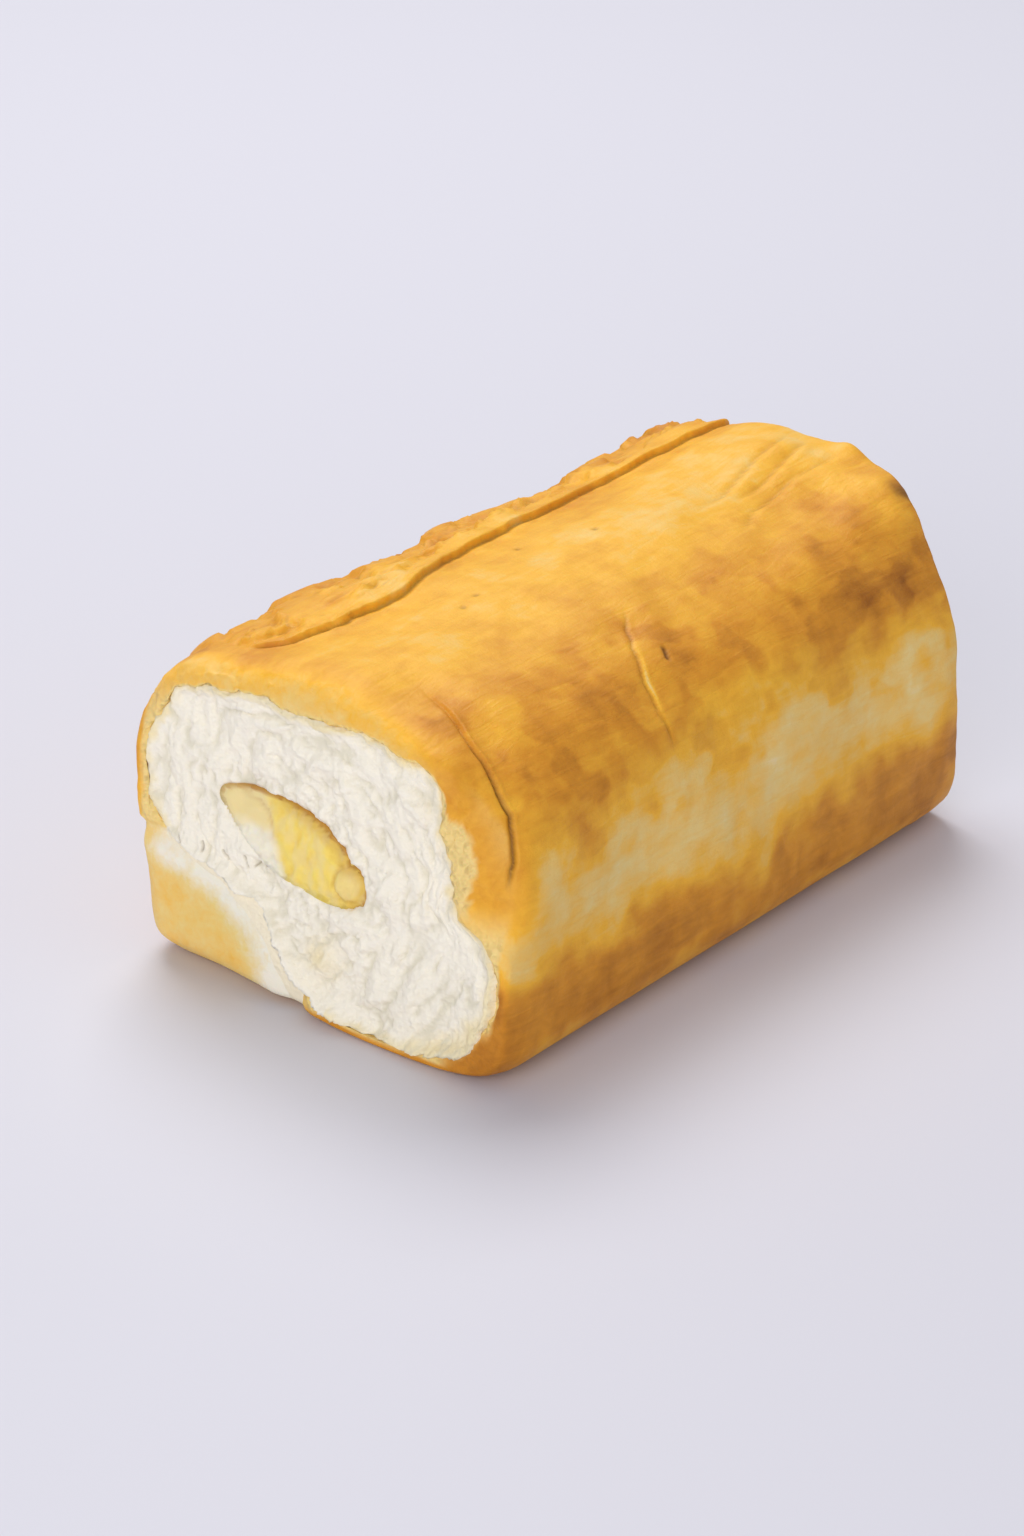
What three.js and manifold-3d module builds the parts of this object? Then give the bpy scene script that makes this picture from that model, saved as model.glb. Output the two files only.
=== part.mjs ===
// Meringue roll cake: a browned sheet rolled round soft white meringue, with a curl of custard in its heart.
// Millimetres. X is the width of the roll, Y its length with the cut end at -Y, and Z is up from its foot.
import * as THREE from 'three';
import { mergeVertices } from 'three/addons/utils/BufferGeometryUtils.js';
import Module from 'manifold-3d';

// The whole roll
const rollWidth = 119;
const rollHeight = 86.5;
const rollLength = 200.5;
const frontLean = 4; // the cut end leans back by this much at the top
const rearShort = 14; // the right shoulder ends this much before the rest of the far end
const rearRise = 1.5; // the far end stands this much higher than the cut end
const heart = new THREE.Vector2(-3, 42); // the rolled layers close round this point of the section

// The browned sheet
const sheetThickness = 4.4;
const rightExtra = 1; // and this much more on the right side
const footThickness = 1.7; // pressed thin under the roll's own weight
const fitGap = 0.32; // clear space between neighbouring layers
// At the cut end: how far the sheet's edge turns in over the face, the radius of that turn, how wide the crumb
// of its cut edge shows, and the share by which the edge is pressed thin
const lips = {
  foot: { reach: 0.8, round: 1.4, cut: 0, thinned: 0 },
  side: { reach: 2.5, round: 2.6, cut: 0, thinned: 0 },
  top: { reach: 10, round: 7, cut: 0.8, thinned: 0.75 },
  right: { reach: 11, round: 12, cut: 4.5, thinned: 0.5 },
};
const rearLip = { reach: 4, round: 2.8, cut: 0, thinned: 0 };
const innerRound = 0.8; // least radius inside a turn
const plainCut = 0.12; // an edge that hardly turns is cut nearly square
const sharpest = 0.25; // the room round a thin edge stays this blunt
const sideEnd = 8; // the plain length of the sheet stops this far before its ends
const raggedness = { lip: 0.22, rear: 0.3, fold: 0.05 };
const foldRound = 4;
const foldThinned = 0.8;
const folds = [
  { cornerX: -rollWidth / 2, x: 53, z: 34, power: 2.6 }, // the lower left corner, turned over the cut end
  { cornerX: rollWidth / 2, x: 18, z: 29, power: 1.3 }, // the lower right corner, tucked in
];

// Relief on the sheet: "back" is the distance behind the cut end, and a pair is the start and end of a change
// The outer end of the sheet lies along the top as a lap
const lap = { height: 1.8, rim: 0.6, rimWidth: 2.6, middleX: -26, back: [14, 19], z: [62, 72] };
const lapEdgeLine = [[14, -33], [24, -24.5], [54, -20], [83, -26], [137, -30.5], [200, -27.5]]; // back, x
// A dark crease runs from the top down to the cut end, and the collar in front of it sits lower
const crease = { depth: 1, width: 2, topBack: 21, topZ: 84, footZ: 44, x: [8, 16] };
const collarDrop = 1.3;
// A split in the right shoulder, with one lifted side
const tear = { depth: 1.1, width: 2.2, topBack: 87, topZ: 84, footBack: 69, footZ: 58, x: [20, 28] };
const tearRim = { height: 0.7, behind: 6, width: 4 };
const wrinkles = { height: 0.6, spacing: 22.5, slant: 1.1, back: [125, 150], z: [74, 82], x: [-20, 0] };
const swell = 0.8; // gentle unevenness of the baked surface
const dents = 0.25;
const flatBelow = [3, 16]; // no relief reaches the underside

// The meringue's rough cut faces, and the custard
const faceLevel = 1.9; // the cut face sits this far inside the sheet's end
const faceRough = 1.1;
const dimple = { x: -34, z: 66, radius: 9, depth: 2.2 };
const custardInset = 1.2; // the custard sits this far inside the end of the roll
const custardPast = 5; // the room cut for it runs out past both ends
const custardRough = 0.5;
const custardTip = new THREE.Vector2(-31, 49);
const custardCurlCentre = new THREE.Vector2(8.5, 37);
const curlRadius = 5;

// Grid sizes
const stationCount = 76;
const outerRows = 22;
const outerLipRows = 4;
const innerRows = 4;
const innerLipRows = 3;
const faceRings = 8;
const custardSteps = 8;
const custardOutlineCount = 44;
const cutTolerance = 0.02; // slivers thinner than this are closed up

const { smoothstep: smooth, lerp } = THREE.MathUtils;
const bump = (value, centre, halfWidth) => Math.exp(-(((value - centre) / halfWidth) ** 2));

// ---- Seeded unevenness: a few plane waves in random directions ----

function seededRandom(seed) {
  let state = seed;
  return () => {
    state = (state * 16807) % 2147483647;
    return state / 2147483647;
  };
}

function waveField(seed, wavelength, waveCount = 7) {
  const random = seededRandom(seed);
  const waves = Array.from({ length: waveCount }, () => {
    const direction = new THREE.Vector3(random() - 0.5, random() - 0.5, random() - 0.5).normalize();
    const stretch = 0.7 + 0.6 * random();
    direction.multiplyScalar((2 * Math.PI * stretch) / wavelength);
    return { direction, phase: 2 * Math.PI * random() };
  });
  const share = 1 / Math.sqrt(waveCount);
  return (point) => share * waves.reduce((sum, w) => sum + Math.sin(w.direction.dot(point) + w.phase), 0);
}

const bakedSwell = waveField(11, 42);
const bakedDents = waveField(23, 13);
const lipRagged = waveField(37, 17);
const meringueLumps = waveField(41, 20, 9);
const meringueCrumb = waveField(53, 12, 9);
const custardLumps = waveField(67, 9);

// ---- The section of the roll: a block with rounded corners, and a broad right shoulder ----

function sectionPath() {
  const halfWidth = rollWidth / 2;
  const corners = [
    { x: -halfWidth, z: 0, radius: 9 },
    { x: -halfWidth + 1, z: 76.5, radius: 27 },
    { x: -8, z: rollHeight + 1.6, radius: 70 },
    { x: halfWidth - 4.5, z: 0.9 * rollHeight, radius: 38 },
    { x: halfWidth, z: 0, radius: 12 },
  ];
  const path = new THREE.Path();
  corners.forEach((corner, i) => {
    const at = new THREE.Vector2(corner.x, corner.z);
    const before = corners[(i + corners.length - 1) % corners.length];
    const after = corners[(i + 1) % corners.length];
    const toBefore = new THREE.Vector2(before.x, before.z).sub(at);
    const toAfter = new THREE.Vector2(after.x, after.z).sub(at);
    const halfAngle = toBefore.angleTo(toAfter) / 2;
    const run = Math.min(corner.radius / Math.tan(halfAngle), toBefore.length() / 2, toAfter.length() / 2);
    const radius = run * Math.tan(halfAngle);
    const bisector = toBefore.clone().normalize().add(toAfter.clone().normalize()).normalize();
    const centre = at.clone().addScaledVector(bisector, radius / Math.sin(halfAngle));
    const start = at.clone().addScaledVector(toBefore.normalize(), run);
    const end = at.clone().addScaledVector(toAfter.normalize(), run);
    if (i === 0) path.moveTo(start.x, start.y);
    else path.lineTo(start.x, start.y);
    path.absarc(centre.x, centre.y, radius, start.sub(centre).angle(), end.sub(centre).angle(), true);
  });
  path.closePath();
  return path;
}

// Points round the section with their inward directions, closer together where the relief is.
function makeStations(count) {
  const fine = 1440;
  const points = sectionPath().getSpacedPoints(fine).slice(0, fine);
  const wanted = points.map((p) => {
    if (p.y < 12) return 0.45;
    if (p.x < -50) return 0.7;
    return p.y > lap.z[0] && Math.abs(p.x - lap.middleX) < 10 ? 2 : 1;
  });
  const total = wanted.reduce((a, b) => a + b, 0);
  const stations = [];
  let run = 0;
  points.forEach((p, i) => {
    if (run >= (stations.length * total) / count && stations.length < count) {
      const ahead = points[(i + 3) % fine];
      const behind = points[(i + fine - 3) % fine];
      const along = ahead.clone().sub(behind).normalize();
      stations.push({ point: p, inward: new THREE.Vector2(along.y, -along.x) });
    }
    run += wanted[i];
  });
  return stations;
}

// ---- The turned ends of the sheet ----

// How far the sheet's edge turns in over the cut end at a point of the section, and how round that turn is.
function plainLip(p) {
  const foot = 1 - smooth(p.y, 1, 14);
  const top = smooth(p.y, 54, 78) * (1 - smooth(p.x, 20, 46));
  const right = smooth(p.x, 34, 50) * smooth(p.y, 28, 50);
  const upper = (key) => lerp(lerp(lips.side[key], lips.top[key], top), lips.right[key], right);
  const mix = (key) => lerp(upper(key), lips.foot[key], foot);
  const ragged = 1 + raggedness.lip * (1 - 0.5 * right) * lipRagged(new THREE.Vector3(p.x, 0, p.y));
  return { reach: mix('reach') * ragged, round: mix('round'), cut: mix('cut'), thinned: mix('thinned') };
}

// A point of the wall's end in its own plane: x runs inwards from the side, y back from the end of the roll.
// `reach` is measured round the turn and over the cut face, `depth` down from the outer face.
function lipPoint(end, reach, depth) {
  const turn = Math.min(reach, end.round);
  const bevel = (end.cut * (reach / end.reach) ** 2 * depth) / sheetThickness;
  const angle = Math.acos(1 - turn / end.round);
  const radius = Math.max(end.round - depth, innerRound);
  const inwards = depth + radius * (1 - Math.cos(angle)) + reach - turn + bevel;
  const back = depth * lerp(plainCut, 1, end.turned) + radius * (1 - Math.sin(angle));
  return new THREE.Vector2(inwards, back);
}

function placeEndPoint(station, end, flat, target) {
  const along = Math.min(flat.x, Math.max(end.round, 1.4 * sheetThickness));
  const at = station.point.clone().addScaledVector(station.inward, along);
  const ray = heart.clone().sub(at);
  const beyond = Math.min(flat.x - along, 0.8 * ray.length());
  at.addScaledVector(ray.normalize(), beyond);
  target.set(at.x, end.facing * (rollLength / 2 - flat.y), at.y);
}

// Along the way from the side to the heart, how far a folded corner still covers the cut face.
function foldReach(station, fold) {
  const step = 0.5;
  const end = { reach: rollWidth, round: foldRound, cut: 0, turned: 1, facing: -1 };
  const at = new THREE.Vector3();
  let reach = 0;
  for (let covered = true; covered && reach < rollWidth / 2; reach += step) {
    placeEndPoint(station, end, lipPoint(end, reach, 0), at);
    const acrossShare = Math.abs((at.x - fold.cornerX) / fold.x) ** fold.power;
    covered = acrossShare + Math.abs(at.z / fold.z) ** fold.power < 1;
  }
  const ragged = 1 + raggedness.fold * lipRagged(new THREE.Vector3(at.x, at.y, at.z));
  return Math.max(0, reach - step) * ragged;
}

function turnedShare(reach) {
  return smooth(reach, 0.5 * sheetThickness, 2 * sheetThickness);
}

const stations = makeStations(stationCount);
for (const station of stations) {
  const { point } = station;
  const lip = plainLip(point);
  const folded = Math.max(...folds.map((fold) => foldReach(station, fold)));
  const byFold = smooth(folded, 2, 14);
  const frontLip = {
    reach: Math.max(lip.reach, folded),
    round: lerp(lip.round, foldRound, byFold),
    cut: lerp(lip.cut, 0, byFold),
    thinned: lerp(lip.thinned, foldThinned, byFold),
  };
  const rearRagged = 1 + raggedness.rear * lipRagged(new THREE.Vector3(point.x, rollLength / 2, point.y));
  station.ends = {
    front: { facing: -1, ...frontLip },
    rear: { facing: 1, ...rearLip, reach: rearLip.reach * rearRagged },
  };
  const sideThickness = sheetThickness + rightExtra * smooth(point.x, 30, 56) * smooth(point.y, 8, 48);
  station.thickness = lerp(footThickness, sideThickness, smooth(point.y, 0, 12));
}
function evenOut(values) {
  return values.map((value, i) => {
    const before = values[(i + values.length - 1) % values.length];
    return 0.5 * value + 0.25 * (before + values[(i + 1) % values.length]);
  });
}

for (const side of ['front', 'rear']) {
  for (const key of ['reach', 'round', 'cut', 'thinned']) {
    const eased = evenOut(evenOut(stations.map((station) => station.ends[side][key])));
    stations.forEach((station, i) => (station.ends[side][key] = eased[i]));
  }
  stations.forEach(({ ends }) => (ends[side].turned = turnedShare(ends[side].reach)));
}

// ---- Relief of the sheet's outer face: outward height at a point of the section and a length along it ----

const across = (value, [start, end]) => smooth(value, start, end);

const lapEdge = new THREE.CubicInterpolant(
  lapEdgeLine.map(([back]) => back),
  lapEdgeLine.map(([, x]) => x),
  1,
);

function reliefAt(p, y) {
  const back = y + rollLength / 2;
  const point = new THREE.Vector3(p.x, y, p.y);
  const [edge] = lapEdge.evaluate(THREE.MathUtils.clamp(back, lap.back[0], rollLength));
  const onLap = across(p.y, lap.z) * across(back, lap.back);
  const lapBody = (1 - smooth(p.x, edge - 1, edge + 3)) * (1 + dents * bakedDents(point));
  const lapRim = bump(p.x, edge - 2.5, lap.rimWidth);

  const climb = Math.max(0, (p.y - crease.footZ) / (crease.topZ - crease.footZ));
  const creaseBack = crease.topBack * climb;
  const nearCrease = across(p.x, crease.x) * smooth(p.y, crease.footZ, crease.footZ + 8);
  const inCollar = nearCrease * (1 - smooth(back, creaseBack - 2, creaseBack + 2));

  const tearAlong = (p.y - tear.footZ) / (tear.topZ - tear.footZ);
  const tearBack = lerp(tear.footBack, tear.topBack, tearAlong ** 3);
  const nearTear = across(p.x, tear.x) * smooth(tearAlong, -0.1, 0.15);

  const wrinkled = across(back, wrinkles.back) * across(p.y, wrinkles.z) * across(p.x, wrinkles.x);
  const wrinklePhase = (2 * Math.PI * (back - wrinkles.slant * p.x)) / wrinkles.spacing;

  const height =
    onLap * (lap.height * lapBody + lap.rim * lapRim) -
    collarDrop * inCollar -
    crease.depth * nearCrease * bump(back, creaseBack, crease.width) -
    tear.depth * nearTear * bump(back, tearBack, tear.width) +
    tearRim.height * nearTear * bump(back, tearBack + tearRim.behind, tearRim.width) +
    wrinkles.height * wrinkled * Math.sin(wrinklePhase) +
    swell * (bakedSwell(point) - 0.6) +
    dents * bakedDents(point);
  return height * across(p.y, flatBelow);
}

// ---- The ends of the roll are not square: every layer is sheared alike, so the gaps stay ----

function settle(x, y, z, target) {
  const frontShare = 0.5 - y / rollLength;
  const rearShare = 0.5 + y / rollLength;
  const lean = (frontLean * z) / rollHeight;
  const short = rearShort * smooth(x, 15, 56);
  const rise = 1 + (rearRise * rearShare) / rollHeight;
  target.set(x, y + frontShare * lean - rearShare * short, z * rise);
}

// ---- The wall of the sheet ----

const rowReach = (end, row, rowCount) => end.reach * (row / rowCount) ** 1.2;

function depthAt(station, end, reach, under) {
  return under * station.thickness * (1 - end.thinned * smooth(reach, foldRound, 2.5 * foldRound));
}

// A line pushed out to its right by `grow`, with its corners kept.
function grownLine(points, grow) {
  const normals = points.slice(1).map((p, i) => {
    const along = p.clone().sub(points[i]).normalize();
    return new THREE.Vector2(along.y, -along.x);
  });
  return points.map((p, i) => {
    const before = normals[Math.max(0, i - 1)];
    const after = normals[Math.min(normals.length - 1, i)];
    const corner = before.clone().add(after).normalize();
    return p.clone().addScaledVector(corner, grow / Math.max(corner.dot(after), sharpest));
  });
}

// The end of the wall in its own plane: round its outer face, over its edge and back along its inner face.
function endProfile(station, end, grow) {
  const points = [new THREE.Vector2(0, sideEnd)];
  for (let i = 1; i <= outerLipRows; i++) points.push(lipPoint(end, rowReach(end, i, outerLipRows), 0));
  for (let i = innerLipRows; i >= 1; i--) {
    const reach = rowReach(end, i, innerLipRows);
    points.push(lipPoint(end, reach, depthAt(station, end, reach, 1)));
  }
  points.push(new THREE.Vector2(station.thickness, sideEnd));
  return grownLine(points, grow);
}

// Rows of the outer face stand closer at both ends.
function rowY(share) {
  const eased = share - (0.55 * Math.sin(4 * Math.PI * share)) / (4 * Math.PI);
  return (eased - 0.5) * (rollLength - 2 * sideEnd);
}

// Once round the wall from the rear edge: the outer face, the front edge and the inner face.
function wallLoop(station, grow) {
  const loop = [];
  const { point, inward, thickness, ends } = station;
  const addEnd = (end, flat, onOuter) => {
    const at = new THREE.Vector3();
    placeEndPoint(station, end, flat, at);
    if (onOuter) {
      const fade = 1 - Math.min(1, Math.max(0, flat.x) / end.round);
      const relief = fade * reliefAt(point, end.facing * (rollLength / 2 - sideEnd));
      at.x -= inward.x * relief;
      at.z -= inward.y * relief;
    }
    loop.push(at);
  };
  const addSide = (y, depth) => {
    const at = point.clone().addScaledVector(inward, depth);
    loop.push(new THREE.Vector3(at.x, y, at.y));
  };
  const rear = endProfile(station, ends.rear, grow);
  const front = endProfile(station, ends.front, grow);
  for (let i = outerLipRows; i >= 1; i--) addEnd(ends.rear, rear[i], true);
  for (let i = outerRows; i >= 0; i--) {
    const y = rowY(i / outerRows);
    addSide(y, -grow - reliefAt(point, y));
  }
  for (let i = 1; i <= outerLipRows; i++) addEnd(ends.front, front[i], true);
  for (let i = outerLipRows + 1; i <= outerLipRows + innerLipRows; i++) addEnd(ends.front, front[i], false);
  for (let i = 0; i <= innerRows; i++) addSide(rowY(i / innerRows), thickness + grow);
  for (let i = outerLipRows + innerLipRows; i > outerLipRows; i--) addEnd(ends.rear, rear[i], false);
  return loop;
}

// A closed skin over columns of points that all have the same number of rows. Without poles the rows close on
// themselves; with them the first and last rows each close on their middle.
function closedGrid(columns, poles) {
  const rowCount = columns[0].length;
  const positions = [];
  const settled = new THREE.Vector3();
  for (let r = 0; r < rowCount; r++)
    for (const column of columns) {
      settle(column[r].x, column[r].y, column[r].z, settled);
      positions.push(settled.x, settled.y, settled.z);
    }
  const vertex = (r, c) => (r % rowCount) * columns.length + (c % columns.length);
  const index = [];
  for (let r = 0; r < (poles ? rowCount - 1 : rowCount); r++)
    for (let c = 0; c < columns.length; c++) {
      index.push(vertex(r, c), vertex(r + 1, c + 1), vertex(r, c + 1));
      index.push(vertex(r, c), vertex(r + 1, c), vertex(r + 1, c + 1));
    }
  const addPole = (r, facing) => {
    const hub = positions.length / 3;
    const mean = new THREE.Vector3();
    for (let c = 0; c < columns.length; c++) {
      mean.add(new THREE.Vector3().fromArray(positions, 3 * vertex(r, c)).divideScalar(columns.length));
    }
    positions.push(mean.x, mean.y, mean.z);
    for (let c = 0; c < columns.length; c++) {
      if (facing > 0) index.push(hub, vertex(r, c), vertex(r, c + 1));
      else index.push(hub, vertex(r, c + 1), vertex(r, c));
    }
  };
  if (poles) {
    addPole(0, 1);
    addPole(rowCount - 1, -1);
  }
  const geometry = new THREE.BufferGeometry();
  geometry.setAttribute('position', new THREE.Float32BufferAttribute(positions, 3));
  geometry.setIndex(index);
  return geometry;
}

function sheetGeometry(grow) {
  return closedGrid(stations.map((station) => wallLoop(station, grow)), false);
}

// ---- The meringue: it runs under the sheet's skin and swells out of both ends ----

function faceDepth(x, z, facing) {
  const point = new THREE.Vector3(x, facing * 60, z);
  const lumps = meringueLumps(point) + 0.5 * meringueCrumb(point);
  const hollow = dimple.depth * bump(Math.hypot(x - dimple.x, 1.6 * (z - dimple.z)), 0, dimple.radius);
  return faceLevel - 0.5 * faceRough * lumps + (facing < 0 ? hollow : 0);
}

// The rows of one cut face, from its rim under the sheet's edge to near the heart.
function faceRows(station, end) {
  const rows = [];
  for (let i = 1; i <= innerLipRows; i++) {
    const reach = rowReach(end, i, innerLipRows);
    const at = new THREE.Vector3();
    placeEndPoint(station, end, lipPoint(end, reach, depthAt(station, end, reach, 0.5)), at);
    rows.push(at);
  }
  const rim = rows[rows.length - 1];
  for (let ring = 1; ring <= faceRings; ring++) {
    const share = (ring - 0.55) / (faceRings + 0.2);
    const x = lerp(rim.x, heart.x, share);
    const z = lerp(rim.z, heart.y, share);
    rows.push(new THREE.Vector3(x, end.facing * (rollLength / 2 - faceDepth(x, z, end.facing)), z));
  }
  return rows;
}

function meringueCoreGeometry() {
  const columns = stations.map((station) => {
    const inset = station.point.clone().addScaledVector(station.inward, station.thickness / 2);
    const side = [];
    for (let i = innerRows; i >= 0; i--) side.push(new THREE.Vector3(inset.x, rowY(i / innerRows), inset.y));
    const { rear, front } = station.ends;
    return [...faceRows(station, rear).reverse(), ...side, ...faceRows(station, front)];
  });
  return closedGrid(columns, true);
}

// ---- The custard: a crescent that ends in a round curl, all along the roll ----

function custardShape() {
  const shape = new THREE.Shape();
  const tip = custardTip;
  const curl = custardCurlCentre;
  shape.moveTo(tip.x, tip.y);
  shape.bezierCurveTo(-25, 43, -19, 31, curl.x, curl.y - curlRadius);
  shape.absarc(curl.x, curl.y, curlRadius, -Math.PI / 2, 0.6 * Math.PI, false);
  shape.lineTo(curl.x - 0.2, curl.y + curlRadius + 1.6);
  shape.bezierCurveTo(1, 51.5, -15, 56, tip.x + 0.6, tip.y + 2);
  shape.closePath();
  return shape;
}

function grownOutline(shape, grow) {
  const points = shape.getSpacedPoints(custardOutlineCount).slice(0, custardOutlineCount);
  return points.map((p, i) => {
    const before = points[(i + points.length - 1) % points.length];
    const along = points[(i + 1) % points.length].clone().sub(before);
    const outward = new THREE.Vector2(along.y, -along.x).normalize();
    return p.clone().addScaledVector(outward, grow);
  });
}

// A bar of the custard's section: `past` lengthens it at both ends.
function custardGeometry(grow, past, rough) {
  const outline = new THREE.Shape(grownOutline(custardShape(), grow));
  const barLength = rollLength + 2 * past;
  const run = { depth: barLength, steps: custardSteps, bevelEnabled: false };
  const geometry = new THREE.ExtrudeGeometry(outline, run);
  geometry.rotateX(Math.PI / 2); // the section's height becomes Z, and the extrusion runs towards -Y
  geometry.translate(0, barLength / 2, 0);
  const position = geometry.getAttribute('position');
  const point = new THREE.Vector3();
  for (let i = 0; i < position.count; i++) {
    point.fromBufferAttribute(position, i);
    const lump = rough * custardLumps(point);
    const atEnd = Math.abs(Math.abs(point.y) - barLength / 2) < 0.01;
    const y = atEnd ? point.y - Math.sign(point.y) * lump : point.y;
    settle(point.x, y, point.z, point);
    position.setXYZ(i, point.x, point.y, point.z);
  }
  return geometry;
}

// ---- Solids ----

const wasm = await Module();
wasm.setup();

function toSolid(geometry) {
  geometry.deleteAttribute('normal');
  geometry.deleteAttribute('uv');
  const merged = mergeVertices(geometry, 1e-4);
  const flat = merged.index.array;
  const kept = [];
  for (let i = 0; i < flat.length; i += 3) {
    const [a, b, c] = [flat[i], flat[i + 1], flat[i + 2]];
    if (a !== b && b !== c && a !== c) kept.push(a, b, c);
  }
  return new wasm.Manifold(
    new wasm.Mesh({
      numProp: 3,
      vertProperties: new Float32Array(merged.attributes.position.array),
      triVerts: new Uint32Array(kept),
    }),
  );
}

function toGeometry(solid) {
  const mesh = solid.getMesh();
  const geometry = new THREE.BufferGeometry();
  geometry.setAttribute('position', new THREE.BufferAttribute(mesh.vertProperties, 3));
  geometry.setIndex(new THREE.BufferAttribute(mesh.triVerts, 1));
  geometry.computeVertexNormals();
  return geometry;
}

function piece(name, solid, finish) {
  const material = new THREE.MeshStandardMaterial({ metalness: 0, ...finish });
  const mesh = new THREE.Mesh(toGeometry(solid), material);
  mesh.name = name;
  return mesh;
}

function brownedSheet() {
  const finish = { name: 'browned_sheet', color: 0xe3a03a, roughness: 0.5 };
  return piece('golden_sheet', toSolid(sheetGeometry(0)), finish);
}

function softMeringue() {
  const core = toSolid(meringueCoreGeometry());
  const sheetRoom = toSolid(sheetGeometry(fitGap));
  const custardRoom = toSolid(custardGeometry(fitGap, custardPast, 0));
  const pieces = core.subtract(sheetRoom).subtract(custardRoom).decompose();
  const largest = pieces.reduce((a, b) => (a.volume() > b.volume() ? a : b));
  const finish = { name: 'white_meringue', color: 0xefebdf, roughness: 0.85 };
  return piece('meringue', largest.simplify(cutTolerance), finish);
}

function custardCurl() {
  const solid = toSolid(custardGeometry(0, -custardInset, custardRough));
  return piece('custard', solid, { name: 'custard', color: 0xe9c85a, roughness: 0.45 });
}

const rollCake = new THREE.Group();
rollCake.name = 'meringue_roll_cake';
rollCake.add(brownedSheet(), softMeringue(), custardCurl());

// The origin is the middle of the underside.
const box = new THREE.Box3().setFromObject(rollCake);
const middle = box.getCenter(new THREE.Vector3());
rollCake.children.forEach((piece) => piece.geometry.translate(-middle.x, -middle.y, -box.min.z));

export default rollCake;
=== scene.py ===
import math

import bmesh
import bpy
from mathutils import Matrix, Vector, noise
from mathutils.bvhtree import BVHTree
from mathutils.kdtree import KDTree


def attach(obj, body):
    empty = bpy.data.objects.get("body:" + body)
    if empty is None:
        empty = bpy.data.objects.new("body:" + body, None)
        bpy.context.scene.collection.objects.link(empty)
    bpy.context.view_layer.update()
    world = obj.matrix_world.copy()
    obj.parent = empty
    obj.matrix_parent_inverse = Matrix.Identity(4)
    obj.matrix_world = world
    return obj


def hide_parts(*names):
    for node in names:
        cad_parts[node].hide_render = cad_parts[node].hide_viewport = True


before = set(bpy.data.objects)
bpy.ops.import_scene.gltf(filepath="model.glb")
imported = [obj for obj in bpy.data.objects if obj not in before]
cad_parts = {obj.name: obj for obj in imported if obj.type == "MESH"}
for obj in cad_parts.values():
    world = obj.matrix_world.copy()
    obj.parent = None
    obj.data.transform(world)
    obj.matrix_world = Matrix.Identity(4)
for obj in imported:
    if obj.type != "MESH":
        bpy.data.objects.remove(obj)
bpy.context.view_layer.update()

mm = 0.001
roll = {
    "halfLength": 100.2,  # the cut end's foot is this far in front of the origin
    "heart": Vector((-3, 0, 42)),  # the layers close round this line of the section
}


# small helpers: every length in them is in millimetres
def smooth(value, start, end):
    share = max(0.0, min(1.0, (value - start) / (end - start)))
    return share * share * (3 - 2 * share)


def bump(value, centre, halfWidth):
    return math.exp(-(((value - centre) / halfWidth) ** 2))


def mix(a, b, share):
    return a + (b - a) * share


def through(points, value):  # a value read off a smooth line through given points
    if value <= points[0][0]:
        return points[0][1]
    for (start, low), (end, high) in zip(points, points[1:]):
        if value < end:
            return mix(low, high, smooth(value, start, end))
    return points[-1][1]


def alongCurve(points, value):  # a value read off a smooth curve through given points
    value = max(points[0][0], min(points[-1][0], value))
    last = len(points) - 1
    i = 0
    while i < last - 1 and value > points[i + 1][0]:
        i += 1

    def slope(j):
        a, b = points[max(0, j - 1)], points[min(last, j + 1)]
        return (b[1] - a[1]) / (b[0] - a[0])

    run = points[i + 1][0] - points[i][0]
    share = (value - points[i][0]) / run
    leaving = slope(i) * run * share * (1 - share) ** 2
    arriving = slope(i + 1) * run * share**2 * (share - 1)
    return mix(points[i][1], points[i + 1][1], smooth(share, 0, 1)) + leaving + arriving


def bumpy(p, size, seed):  # about -1 to 1, in lumps this many millimetres across
    return noise.fractal(p / size + Vector((7.3 * seed, 3.1 * seed, 0)), 1, 2, 3)


def fromCut(x, back, z):  # a place by its distance behind the cut end
    return Vector((x, back - roll["halfLength"], z))


def placesFromCut(*places):
    return [fromCut(*place) for place in places]


def awayFromHeart(p):  # the way straight out of the roll, across its length
    away = (p - roll["heart"]) * Vector((1, 0, 1))
    return away.normalized()


def onSpot(p, spot, uneven=0.0):  # 1 in the middle of a round spot of the cut end
    x, z, radius = spot
    return bump(math.hypot(p.x - x, p.z - z) + uneven, 0, radius)


def nearest(p, line):  # distance to a broken line, the nearest point on it and how far along that is
    best = (1e9, line[0], 0)
    for i, (a, b) in enumerate(zip(line, line[1:])):
        run = b - a
        share = max(0.0, min(1.0, (p - a).dot(run) / run.length_squared))
        at = a + run * share
        distance = (p - at).length
        if distance < best[0]:
            best = (distance, at, (i + share) / (len(line) - 1))
    return best


def onto(tree, line, cuts=4):  # a broken line laid on the surface, with more points
    laid = []
    for a, b in zip(line, line[1:]):
        laid += [a + (b - a) * (i / cuts) for i in range(cuts)]
    return [tree.find_nearest(p * mm)[0] / mm for p in laid + [line[-1]]]


def nearPoints(line):  # a fast look-up of how far a place is from a line
    tree = KDTree(len(line))
    for i, point in enumerate(line):
        tree.insert(point, i)
    tree.balance()
    return tree


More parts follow.
